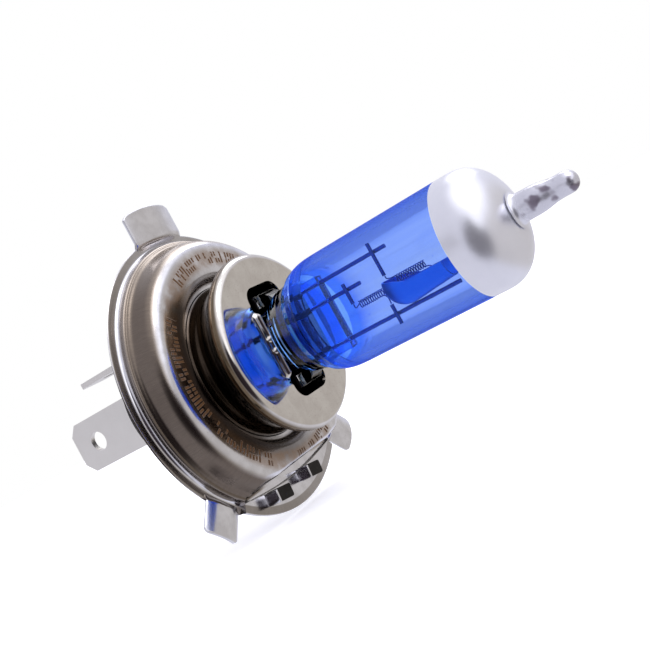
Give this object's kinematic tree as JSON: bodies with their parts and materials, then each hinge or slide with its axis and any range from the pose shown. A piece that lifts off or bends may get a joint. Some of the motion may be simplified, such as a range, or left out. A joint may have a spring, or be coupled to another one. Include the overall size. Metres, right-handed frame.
{
  "type": "headlight bulb",
  "caption": "Twin-filament halogen headlight bulb: blue glass tube with a silvered end, stamped three-lug flange, drawn cup and flat blade terminals.",
  "frame": {"origin": "centre of the flange's seating plane, on the bulb axis", "axes": "+X along the bulb axis towards the glass tip, +Z towards the 12 o'clock lug, opposite the flat side of the flange, and +Y completes the right-handed set"},
  "size_m": [0.0821, 0.043, 0.0477],
  "materials": {
    "flange": "stamped stainless, fine brushing",
    "cup": "polished drawn stainless",
    "spring": "cold-rolled spring strip",
    "sleeve": "drawn steel",
    "insulator": "black moulded phenolic",
    "terminal": "matt nickel-plated brass",
    "lead": "nickel wire",
    "glass": "clear hard glass",
    "blue_coat": "thin blue filter coat",
    "silver_coat": "satin silver coat",
    "molybdenum": "bright molybdenum",
    "post": "darkened molybdenum wire",
    "root_sleeve": "dark sleeve",
    "quartz": "clear quartz",
    "tungsten": "coiled tungsten wire",
    "shield": "formed molybdenum sheet"
  },
  "bodies": {
    "root": {"flange_ring": "flange", "capsule_cup": "cup", "pinch_holder": "spring", "base_sleeve": "sleeve", "insulator": "insulator", "terminal_common": "terminal", "terminal_high": "terminal", "terminal_low": "terminal", "lead_common": "lead", "lead_high": "lead", "lead_low": "lead", "glass_envelope": "glass", "blue_coat": "blue_coat", "silver_coat": "silver_coat", "foil_common": "molybdenum", "foil_high": "molybdenum", "foil_low": "molybdenum", "pin_common": "molybdenum", "pin_high": "molybdenum", "pin_low": "molybdenum", "post_common": "post", "post_high": "post", "post_low": "post", "sleeve_common": "root_sleeve", "sleeve_high": "root_sleeve", "sleeve_low": "root_sleeve", "bridge": "quartz", "crossbar_common": "post", "crossbar_high": "post", "crossbar_low": "post", "high_beam_coil": "tungsten", "low_beam_coil": "tungsten", "dip_shield": "shield"}
  },
  "joints": []
}
